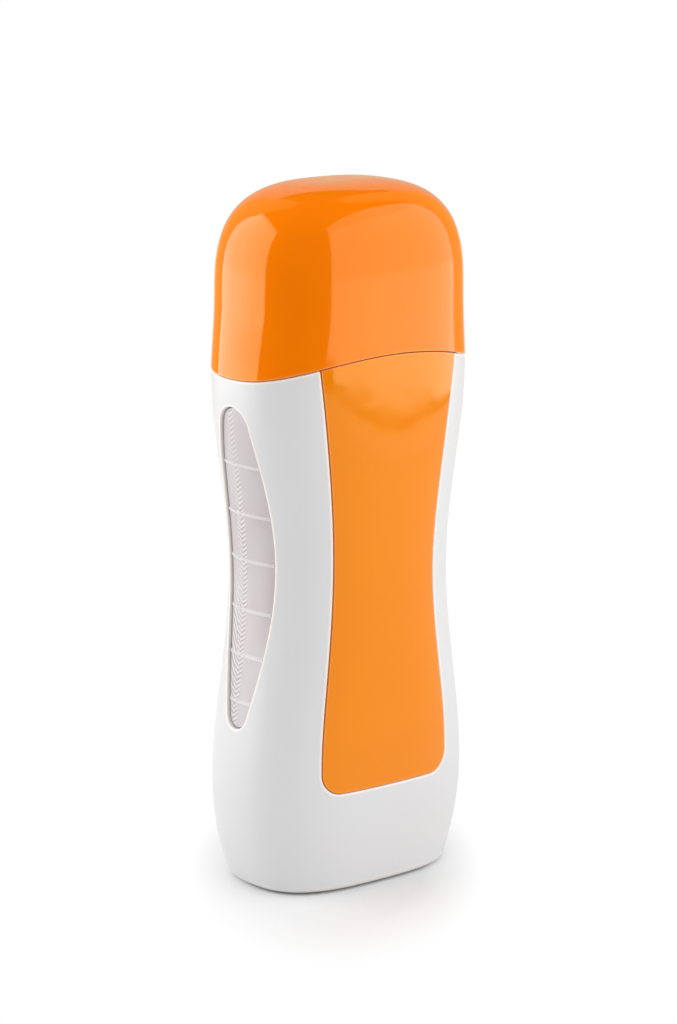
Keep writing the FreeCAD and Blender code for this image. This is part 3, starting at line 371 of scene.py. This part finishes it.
def backdrop_paper(name, colour, edge_start, edge_end):
    """Seamless white paper that keeps the heater's shadow and runs out to plain white."""
    material, tree, shader = surface(name, Roughness=0.9)
    shader.inputs["Base Color"].default_value = opaque(colour)
    shader.inputs["Specular IOR Level"].default_value = 0.0
    # the shadow reaches twice as far before and behind the heater as beside it
    turned = add(tree, "ShaderNodeVectorRotate", {"Vector": millimetres(tree), "Angle": -VIEW_AZIMUTH},
                 rotation_type="Z_AXIS")
    pressed = add(tree, "ShaderNodeVectorMath", {0: turned.outputs["Vector"], 1: (1.0, 0.5, 1.0)},
                  operation="MULTIPLY")
    away = add(tree, "ShaderNodeVectorMath", {0: pressed.outputs["Vector"]}, operation="LENGTH")
    fade = add(tree, "ShaderNodeMapRange", {
        "Value": away.outputs["Value"], "From Min": edge_start, "From Max": edge_end,
        "To Min": 0.0, "To Max": 1.0,
    })
    seen = add(tree, "ShaderNodeLightPath")
    looked = add(tree, "ShaderNodeMath", {0: seen.outputs["Is Camera Ray"], 1: seen.outputs["Is Glossy Ray"]},
                 operation="MAXIMUM")
    direct = add(tree, "ShaderNodeMath", {0: fade.outputs["Result"], 1: looked.outputs["Value"]},
                 operation="MULTIPLY")
    plain = add(tree, "ShaderNodeEmission", {"Strength": 1.0})
    upper = add(tree, "ShaderNodeMixShader", {0: direct.outputs["Value"], 1: shader.outputs["BSDF"],
                                              2: plain.outputs["Emission"]})
    # from below the floor lets the eye through to the base
    side = add(tree, "ShaderNodeNewGeometry")
    clear = add(tree, "ShaderNodeBsdfTransparent")
    both = add(tree, "ShaderNodeMixShader", {0: side.outputs["Backfacing"], 1: upper.outputs["Shader"],
                                             2: clear.outputs["BSDF"]})
    tree.links.new(both.outputs["Shader"], tree.nodes["Material Output"].inputs["Surface"])
    return material


# ------------------------------------------------------------------ settings
class HeaterFinish(bpy.types.PropertyGroup):
    """Colours and glosses that a user would change."""

    cap_colour: bpy.props.FloatVectorProperty(
        name="Orange", description="Pigment of the cap and the inlaid panels",
        subtype="COLOR", min=0.0, max=1.0, default=linear("#F97D02"),
    )
    cap_deep: bpy.props.FloatVectorProperty(
        name="Orange, denser", description="Where the pigment has gathered",
        subtype="COLOR", min=0.0, max=1.0, default=linear("#F87A02"),
    )
    panel_colour: bpy.props.FloatVectorProperty(
        name="Panel orange", description="Pigment of the inlaid panels, a touch more yellow than the cap",
        subtype="COLOR", min=0.0, max=1.0, default=linear("#F28602"),
    )
    panel_deep: bpy.props.FloatVectorProperty(
        name="Panel orange, denser", description="Where the panels' pigment has gathered",
        subtype="COLOR", min=0.0, max=1.0, default=linear("#F08302"),
    )
    # painted highlight: the paler orange drawn at the orange pieces' edges, where rounded edges catch light
    orange_edge_highlight: bpy.props.FloatVectorProperty(
        name="Orange, edges", description="Where the orange pieces' edges are rubbed smooth",
        subtype="COLOR", min=0.0, max=1.0, default=linear("#FA964A"),
    )
    body_colour: bpy.props.FloatVectorProperty(
        name="White", description="Pigment of the body sleeve",
        subtype="COLOR", min=0.0, max=1.0, default=linear("#DDDDDE"),
    )
    body_shade: bpy.props.FloatVectorProperty(
        name="White, denser", description="Where the white is a touch warmer",
        subtype="COLOR", min=0.0, max=1.0, default=linear("#DCDBDB"),
    )
    # painted highlight: the paler white drawn at the body's edges where rounded edges catch light, which also
    # paints light over the shade in narrow gaps
    body_edge_highlight: bpy.props.FloatVectorProperty(
        name="White, edges", description="Where the body's edges are rubbed smooth",
        subtype="COLOR", min=0.0, max=1.0, default=linear("#FDF3E9"),
    )
    window_colour: bpy.props.FloatVectorProperty(
        name="Window", description="Tint of the level windows",
        subtype="COLOR", min=0.0, max=1.0, default=linear("#CDC7C8"),
    )
    window_shade: bpy.props.FloatVectorProperty(
        name="Window, pinker", description="Tint where the window is thicker",
        subtype="COLOR", min=0.0, max=1.0, default=linear("#C7BBBC"),
    )
    # painted highlight: the paler tint of the level marks, the chevron crests and the pane's edges, standing
    # in for the light they catch
    window_ridge_highlight: bpy.props.FloatVectorProperty(
        name="Window, ridges", description="Tint of the level marks and the fine chevrons",
        subtype="COLOR", min=0.0, max=1.0, default=linear("#ECE6E6"),
    )
    cap_roughness: bpy.props.FloatProperty(
        name="Cap roughness", description="Microscopic roughness of the cap's gloss",
        min=0.0, max=1.0, subtype="FACTOR", default=0.08,
    )
    panel_roughness: bpy.props.FloatProperty(
        name="Panel roughness", description="Microscopic roughness of the inlaid panels",
        min=0.0, max=1.0, subtype="FACTOR", default=0.06,
    )
    body_roughness: bpy.props.FloatProperty(
        name="Body roughness", description="Microscopic roughness of the satin body",
        min=0.0, max=1.0, subtype="FACTOR", default=0.42,
    )
    window_clarity: bpy.props.FloatProperty(
        name="Window clarity", description="Share of the light that passes through the windows",
        min=0.0, max=1.0, subtype="FACTOR", default=0.12,
    )


class HeaterStage(bpy.types.PropertyGroup):
    """Sizes and levels of the floor, the soft lights and the camera."""

    floor_radius: bpy.props.FloatProperty(
        name="Floor radius", description="Radius of the round floor",
        unit="LENGTH", min=0.5, default=6.0,
    )
    floor_colour: bpy.props.FloatVectorProperty(
        name="Floor", description="Colour of the floor paper",
        subtype="COLOR", min=0.0, max=1.0, default=linear("#E6E6E6"),
    )
    key_level: bpy.props.FloatProperty(
        name="Front softbox", description="Brightness of the large softbox before the front panel",
        min=0.0, default=1.35,
    )
    side_level: bpy.props.FloatProperty(
        name="Side softbox", description="Brightness of the softbox beside the left window",
        min=0.0, default=2.3,
    )
    top_level: bpy.props.FloatProperty(
        name="Top light", description="Brightness of the overhead light that whitens the floor",
        min=0.0, default=1.25,
    )
    bounce_level: bpy.props.FloatProperty(
        name="Bounce sheet",
        description="Brightness of the white sheet behind the camera, which opens the gaps",
        min=0.0, default=0.6,
    )
    fill_level: bpy.props.FloatProperty(
        name="Room light", description="Even light from all round",
        min=0.0, default=0.28,
    )
    mirror_level: bpy.props.FloatProperty(
        name="Room in reflections", description="Brightness of the room as reflections see it",
        min=0.0, max=1.0, default=0.55,
    )
    camera_distance: bpy.props.FloatProperty(
        name="Camera distance", description="Distance of the camera from its aim",
        unit="LENGTH", min=0.2, default=0.9,
    )
    aim_height: bpy.props.FloatProperty(
        name="Aim height", description="Height of the point that the camera looks at",
        unit="LENGTH", min=0.0, default=0.1048,
    )
    lens: bpy.props.FloatProperty(
        name="Lens", description="Focal length on a 36 mm wide sensor",
        unit="CAMERA", min=10.0, default=111.28,
    )


# ----------------------------------------------------------------- operators
class HEATER_OT_cap(bpy.types.Operator):
    """Finishes the pull-off cap in high-gloss orange ABS"""

    bl_idname = "heater.cap"
    bl_label = "Cap"

    def execute(self, context):
        look = context.scene.heater_finish
        orange = mirror_moulded_abs(
            "gloss_orange_abs", look.cap_colour, look.cap_deep, look.orange_edge_highlight, look.cap_roughness,
            waviness=0.02, gloss=0.56,
        )
        dress(orange, "cap")
        return {"FINISHED"}


class HEATER_OT_body_shell(bpy.types.Operator):
    """Finishes the one-piece body sleeve and its neck in satin white ABS"""

    bl_idname = "heater.body_shell"
    bl_label = "Body Shell"

    def execute(self, context):
        look = context.scene.heater_finish
        white = spark_textured_abs(
            "satin_white_abs", look.body_colour, look.body_shade, look.body_edge_highlight, look.body_roughness
        )
        dress(white, "body_shell")
        return {"FINISHED"}


class HEATER_OT_inlaid_panels(bpy.types.Operator):
    """Finishes the front and rear inlaid panels in smooth orange ABS"""

    bl_idname = "heater.inlaid_panels"
    bl_label = "Inlaid Panels"

    def execute(self, context):
        look = context.scene.heater_finish
        orange = mirror_moulded_abs(
            "smooth_orange_abs", look.panel_colour, look.panel_deep, look.orange_edge_highlight, look.panel_roughness,
            waviness=0.0, gloss=0.66,
        )
        dress(orange, "front_panel", "rear_panel")
        return {"FINISHED"}


class HEATER_OT_level_windows(bpy.types.Operator):
    """Finishes the two level windows in misty ridged polycarbonate"""

    bl_idname = "heater.level_windows"
    bl_label = "Level Windows"

    def execute(self, context):
        look = context.scene.heater_finish
        pane = ridged_polycarbonate(
            "ridged_polycarbonate", look.window_colour, look.window_shade, look.window_ridge_highlight,
            look.window_clarity, roughness=0.3,
        )
        dress(pane, "left_window", "right_window")
        return {"FINISHED"}


class HEATER_OT_base(bpy.types.Operator):
    """Finishes the base cover, its feet and the screws"""

    bl_idname = "heater.base"
    bl_label = "Base"

    def execute(self, context):
        look = context.scene.heater_finish
        cover = spark_textured_abs(
            "satin_white_abs_cover", look.body_colour, look.body_shade, look.body_edge_highlight, roughness=0.5,
        )
        dress(cover, "base_cover")
        rubber = speckled(
            "moulded_foot_rubber", linear("#2C2C2D"), linear("#383839"),
            size=0.8, roughness=0.75, ior=1.52, depth=0.01,
        )
        dress(rubber, "rubber_feet")
        zinc = plated_metal("zinc_plated_steel", linear("#B9BCBE"), linear("#A5A8AA"), roughness=0.32)
        dress(zinc, "base_screws", "well_screws")
        return {"FINISHED"}


class HEATER_OT_cartridge_well(bpy.types.Operator):
    """Finishes the open liner that the wax cartridge drops into"""

    bl_idname = "heater.cartridge_well"
    bl_label = "Cartridge Well"

    def execute(self, context):
        nylon = moulded_nylon(
            "natural_glass_filled_nylon", linear("#DEDACF"), linear("#D3CEC1"), roughness=0.5,
        )
        dress(nylon, "cartridge_well")
        return {"FINISHED"}


class HEATER_OT_heater_packs(bpy.types.Operator):
    """Finishes the heater plates, their stones, clamps and rivets, and the two cut-outs"""

    bl_idname = "heater.heater_packs"
    bl_label = "Heater Packs"

    def execute(self, context):
        sheet = rolled_metal(
            "rolled_aluminium", linear("#D5D6D8"), linear("#C6C8CA"), roughness=0.32, line=0.5,
        )
        dress(sheet, "rear_heater_plate", "front_heater_plate")
        stone = speckled(
            "fired_heater_ceramic", linear("#4A4C50"), linear("#3B3D41"),
            size=0.7, roughness=0.6, ior=1.6, depth=0.01,
        )
        dress(stone, "rear_ptc_heater", "front_ptc_heater")
        spring = rolled_metal(
            "rolled_spring_steel", linear("#A4A6A9"), linear("#8E9093"), roughness=0.28, line=0.35,
        )
        dress(spring, "rear_ptc_clamp", "front_ptc_clamp")
        rivet = plated_metal("aluminium_rivet", linear("#CDCED0"), linear("#B9BBBD"), roughness=0.35)
        dress(rivet, "clamp_rivets")
        tin = plated_metal("tinned_cut_out_case", linear("#B4B2AD"), linear("#A3A19B"), roughness=0.38)
        dress(tin, "thermostat")
        barrel = plated_metal("fuse_barrel", linear("#C8C4B8"), linear("#B6B1A3"), roughness=0.3)
        dress(barrel, "thermal_fuse")
        return {"FINISHED"}


class HEATER_OT_mains_inlet(bpy.types.Operator):
    """Finishes the appliance inlet and its two pins"""

    bl_idname = "heater.mains_inlet"
    bl_label = "Mains Inlet"

    def execute(self, context):
        nylon = moulded_nylon(
            "black_flame_resistant_nylon", linear("#1B1B1C"), linear("#232324"), roughness=0.48,
        )
        dress(nylon, "inlet_socket", "power_switch")
        nickel = plated_metal("nickel_plated_brass", linear("#CFC9BC"), linear("#BDB6A6"), roughness=0.22)
        dress(nickel, "inlet_pins")
        return {"FINISHED"}


class HEATER_OT_circuit_board(bpy.types.Operator):
    """Finishes the board, its resistor and lamp, and the lamp's lens"""

    bl_idname = "heater.circuit_board"
    bl_label = "Circuit Board"

    def execute(self, context):
        board = speckled(
            "phenolic_laminate", linear("#A77B3B"), linear("#96692D"),
            size=0.9, roughness=0.5, ior=1.55, depth=0.008,
        )
        dress(board, "circuit_board")
        resistor = speckled(
            "dipped_resistor_epoxy", linear("#3E6C8E"), linear("#355F80"),
            size=1.2, roughness=0.35, ior=1.55, depth=0.01,
        )
        dress(resistor, "dropper_resistor")
        lamp = clear_cast(
            "cast_lamp_epoxy", linear("#C32A20"), linear("#A91F18"), clarity=0.5, roughness=0.12,
        )
        dress(lamp, "indicator_lamp")
        lens = clear_cast(
            "moulded_red_acrylic", linear("#D23A2C"), linear("#BE2E22"), clarity=0.55, roughness=0.08,
        )
        dress(lens, "indicator_lens")
        return {"FINISHED"}


class HEATER_OT_power_button(bpy.types.Operator):
    """Finishes the power button and the plunger behind it"""

    bl_idname = "heater.power_button"
    bl_label = "Power Button"

    def execute(self, context):
        look = context.scene.heater_finish
        white = spark_textured_abs(
            "satin_white_abs_button", look.body_colour, look.body_shade, look.body_edge_highlight, roughness=0.36,
        )
        dress(white, "power_button")
        acetal = moulded_nylon("natural_acetal", linear("#EDEBE5"), linear("#E5E2DA"), roughness=0.34)
        dress(acetal, "switch_plunger")
        return {"FINISHED"}


class HEATER_OT_leads(bpy.types.Operator):
    """Finishes the insulated leads inside the body"""

    bl_idname = "heater.leads"
    bl_label = "Leads"

    def execute(self, context):
        brown = extruded_jacket(
            "brown_extruded_silicone", linear("#6B4226"), linear("#5F3920"), roughness=0.45,
        )
        dress(brown, "live_lead")
        blue = extruded_jacket("blue_extruded_silicone", linear("#2E6FB0"), linear("#27639F"), roughness=0.45)
        dress(blue, "neutral_lead")
        sleeve = braided_sleeve("braided_glass_sleeving", linear("#E3E0D6"), linear("#BDB9AC"), pitch=0.9)
        dress(sleeve, "rear_heater_lead", "front_heater_lead", "thermostat_leads", "fuse_leads")
        return {"FINISHED"}


def toward(degrees):
    """Level direction, measured round from straight away from the camera towards its left."""
    ahead = Vector((-math.sin(VIEW_AZIMUTH), math.cos(VIEW_AZIMUTH), 0.0))
    right = Vector((math.cos(VIEW_AZIMUTH), math.sin(VIEW_AZIMUTH), 0.0))
    turn = math.radians(degrees)
    return ahead * math.cos(turn) - right * math.sin(turn)


def softbox(name, degrees, distance, half_width, low, high, level):
    """Upright rectangular light of an even brightness, facing the heater."""
    lamp = bpy.data.lights.new(name, "AREA")
    lamp.shape = "RECTANGLE"
    lamp.size = 2 * half_width
    lamp.size_y = high - low
    # the power that makes the whole face as bright as the level
    lamp.energy = level * math.pi * lamp.size * lamp.size_y
    box = bpy.data.objects.new(name, lamp)
    bpy.context.scene.collection.objects.link(box)
    outward = toward(degrees)
    box.location = outward * distance + Vector((0.0, 0.0, (low + high) / 2))
    box.rotation_mode = "QUATERNION"
    box.rotation_quaternion = outward.to_track_quat("Z", "Y")
    box.visible_camera = False
    return box


def card(points, faces, start, end, radius, low, high):
    """Adds an upright curved card between two bearings to a list of points and faces."""
    steps = 12
    first = len(points)
    for i in range(steps + 1):
        outward = toward(start + (end - start) * i / steps) * radius
        points.append((outward.x, outward.y, low))
        points.append((outward.x, outward.y, high))
    for i in range(steps):
        a = first + 2 * i
        faces.append((a, a + 2, a + 3, a + 1))


def foot_strip(below):
    """Points and faces of the painted shade strip just before the front softbox, or of the painted light
    strip in the space below it.
    """
    outward = toward(FRONT_BEARING) * (FRONT_DISTANCE - 0.004)
    along = toward(FRONT_BEARING).cross(Vector((0.0, 0.0, 1.0)))
    points = []
    for side, low, high in FOOT_STRIP:
        place = outward + along * side
        points.append((place.x, place.y, 0.0005 if below else low))
        points.append((place.x, place.y, low if below else high))
    faces = [(2 * i, 2 * i + 2, 2 * i + 3, 2 * i + 1) for i in range(len(FOOT_STRIP) - 1)]
    return points, faces


class HEATER_OT_stage(bpy.types.Operator):
    """Sets the floor, the cards and strips, the soft lights, the room and the camera"""

    bl_idname = "heater.stage"
    bl_label = "Stage"

    def execute(self, context):
        stage = context.scene.heater_stage
        self.lay_floor(stage)
        self.hang_cards()
        self.place_lights(stage)
        self.light_room(context, stage)
        self.place_camera(context, stage)
        return {"FINISHED"}

    def lay_floor(self, stage):
        points = [(0.0, 0.0, 0.0)]
        sides = 96
        for i in range(sides):
            turn = 2 * math.pi * i / sides
            points.append((stage.floor_radius * math.cos(turn), stage.floor_radius * math.sin(turn), 0.0))
        faces = [(0, 1 + i, 1 + (i + 1) % sides) for i in range(sides)]
        mesh = bpy.data.meshes.new("floor")
        mesh.from_pydata(points, [], faces)
        paper = backdrop_paper("white_backdrop_paper", stage.floor_colour, FADE_START, FADE_END)
        mesh.materials.append(paper)
        floor = bpy.data.objects.new("floor", mesh)
        bpy.context.scene.collection.objects.link(floor)

    def hang_cards(self):
        """Cards that only reflections see: black keeps glossy pigment deep, and gold warms its flanks."""
        points = []
        faces = []
        card(points, faces, *BLACK_CARD, radius=0.55, low=0.0, high=CARD_TOP)
        first = len(points)
        sides = 24
        for i in range(sides):
            outward = toward(360.0 * i / sides) * CEILING_RADIUS
            points.append((outward.x, outward.y, CARD_TOP))
        faces.append(tuple(range(first, first + sides)))
        self.hang("black_cards", points, faces, linear("#17140F"), linear("#1D1912"))
        points = []
        faces = []
        for start, end in GOLD_CARDS:
            card(points, faces, start, end, radius=0.6, low=0.0, high=CARD_TOP)
        self.hang("gold_cards", points, faces, linear("#D2C488"), linear("#CCBE82"))
        # seen only in reflections: a narrow dark strip along the foot of the front softbox, painted shade,
        # and glowing floor white below it, painted light
        self.hang("painted_shade_strip", *foot_strip(False), linear("#17140F"), linear("#1D1912"))
        self.hang("painted_light_strip", *foot_strip(True), linear("#F4F4F4"), linear("#F0F0F0"), glow=0.45)

    def hang(self, name, points, faces, colour, shade, glow=0.0):
        mesh = bpy.data.meshes.new(name)
        mesh.from_pydata(points, [], faces)
        material, tree, shader = surface(f"matt_{name}", Roughness=0.95, Emission_Strength=glow)
        shader.inputs["Emission Color"].default_value = opaque(colour)
        tone = two_tone(tree, mottle(tree, millimetres(tree), 30.0, 0.0, 1.0), colour, shade)
        tree.links.new(tone, shader.inputs["Base Color"])
        mesh.materials.append(material)
        cards = bpy.data.objects.new(name, mesh)
        bpy.context.scene.collection.objects.link(cards)
        cards.visible_camera = False
        cards.visible_diffuse = False
        cards.visible_shadow = False
        cards.visible_transmission = False

    def place_lights(self, stage):
        softbox(
            "front_softbox", FRONT_BEARING, FRONT_DISTANCE,
            half_width=0.47, low=0.005, high=0.85, level=stage.key_level,
        )
        softbox(
            "side_softbox", SIDE_BEARING, SIDE_DISTANCE,
            half_width=0.29, low=0.005, high=0.69, level=stage.side_level,
        )
        bounce = softbox(
            "bounce_sheet", BOUNCE_BEARING, BOUNCE_DISTANCE,
            half_width=0.4, low=0.1, high=0.9, level=stage.bounce_level,
        )
        bounce.visible_glossy = False
        lamp = bpy.data.lights.new("top_light", "AREA")
        lamp.shape = "DISK"
        lamp.size = TOP_LIGHT_WIDTH
        lamp.energy = stage.top_level * math.pi ** 2 * (lamp.size / 2) ** 2
        top = bpy.data.objects.new("top_light", lamp)
        bpy.context.scene.collection.objects.link(top)
        top.location = (0.0, 0.0, TOP_LIGHT_HEIGHT)
        top.visible_camera = False
        top.visible_glossy = False

    def light_room(self, context, stage):
        world = bpy.data.worlds.new("white_studio")
        world.use_nodes = True
        context.scene.world = world
        tree = world.node_tree
        tree.nodes.clear()
        seen = add(tree, "ShaderNodeLightPath")
        mirrored = add(tree, "ShaderNodeMapRange", {
            "Value": seen.outputs["Is Glossy Ray"], "To Min": stage.fill_level, "To Max": stage.mirror_level,
        })
        through = add(tree, "ShaderNodeMath", {
            0: seen.outputs["Is Camera Ray"], 1: seen.outputs["Is Transmission Ray"],
        }, operation="MAXIMUM")
        strength = add(tree, "ShaderNodeMapRange", {
            "Value": through.outputs["Value"], "To Min": mirrored.outputs["Result"], "To Max": 1.0,
        })
        light = add(tree, "ShaderNodeBackground", {"Strength": strength.outputs["Result"]})
        light.inputs["Color"].default_value = (1.0, 1.0, 1.0, 1.0)
        add(tree, "ShaderNodeOutputWorld", {"Surface": light.outputs["Background"]})

    def place_camera(self, context, stage):
        data = bpy.data.cameras.new("camera")
        data.sensor_width = 36.0
        data.lens = stage.lens
        data.clip_start = 0.01
        data.clip_end = 50.0
        camera = bpy.data.objects.new("camera", data)
        context.scene.collection.objects.link(camera)
        back = -toward(0.0) * math.cos(VIEW_ELEVATION) + Vector((0.0, 0.0, math.sin(VIEW_ELEVATION)))
        camera.location = Vector((0.0, 0.0, stage.aim_height)) + back * stage.camera_distance
        camera.rotation_mode = "QUATERNION"
        camera.rotation_quaternion = back.to_track_quat("Z", "Y") @ Quaternion((0.0, 0.0, 1.0), VIEW_ROLL)
        context.scene.camera = camera
        context.scene.view_settings.view_transform = "Standard"


OPERATORS = (
    HEATER_OT_cap,
    HEATER_OT_body_shell,
    HEATER_OT_inlaid_panels,
    HEATER_OT_level_windows,
    HEATER_OT_base,
    HEATER_OT_cartridge_well,
    HEATER_OT_heater_packs,
    HEATER_OT_mains_inlet,
    HEATER_OT_circuit_board,
    HEATER_OT_power_button,
    HEATER_OT_leads,
    HEATER_OT_stage,
)


class HEATER_PT_pieces(bpy.types.Panel):
    """Lists the settings and the pieces in the order they are finished"""

    bl_idname = "HEATER_PT_pieces"
    bl_label = "Roll-on Wax Heater"
    bl_space_type = "VIEW_3D"
    bl_region_type = "UI"
    bl_category = "Wax Heater"

    def draw(self, context):
        layout = self.layout
        for group in (context.scene.heater_finish, context.scene.heater_stage):
            box = layout.box()
            for name in group.bl_rna.properties.keys():
                if name not in {"rna_type", "name"}:
                    box.prop(group, name)
        for operator in OPERATORS:
            layout.operator(operator.bl_idname)


CLASSES = (HeaterFinish, HeaterStage, *OPERATORS, HEATER_PT_pieces)


def register():
    for cls in CLASSES:
        bpy.utils.register_class(cls)
    bpy.types.Scene.heater_finish = bpy.props.PointerProperty(type=HeaterFinish)
    bpy.types.Scene.heater_stage = bpy.props.PointerProperty(type=HeaterStage)


def unregister():
    del bpy.types.Scene.heater_stage
    del bpy.types.Scene.heater_finish
    for cls in reversed(CLASSES):
        bpy.utils.unregister_class(cls)


def main():
    register()
    bpy.ops.heater.cap()
    bpy.ops.heater.body_shell()
    bpy.ops.heater.inlaid_panels()
    bpy.ops.heater.level_windows()
    bpy.ops.heater.base()
    bpy.ops.heater.cartridge_well()
    bpy.ops.heater.heater_packs()
    bpy.ops.heater.mains_inlet()
    bpy.ops.heater.circuit_board()
    bpy.ops.heater.power_button()
    bpy.ops.heater.leads()
    bpy.ops.heater.stage()


if __name__ == "__main__":
    main()
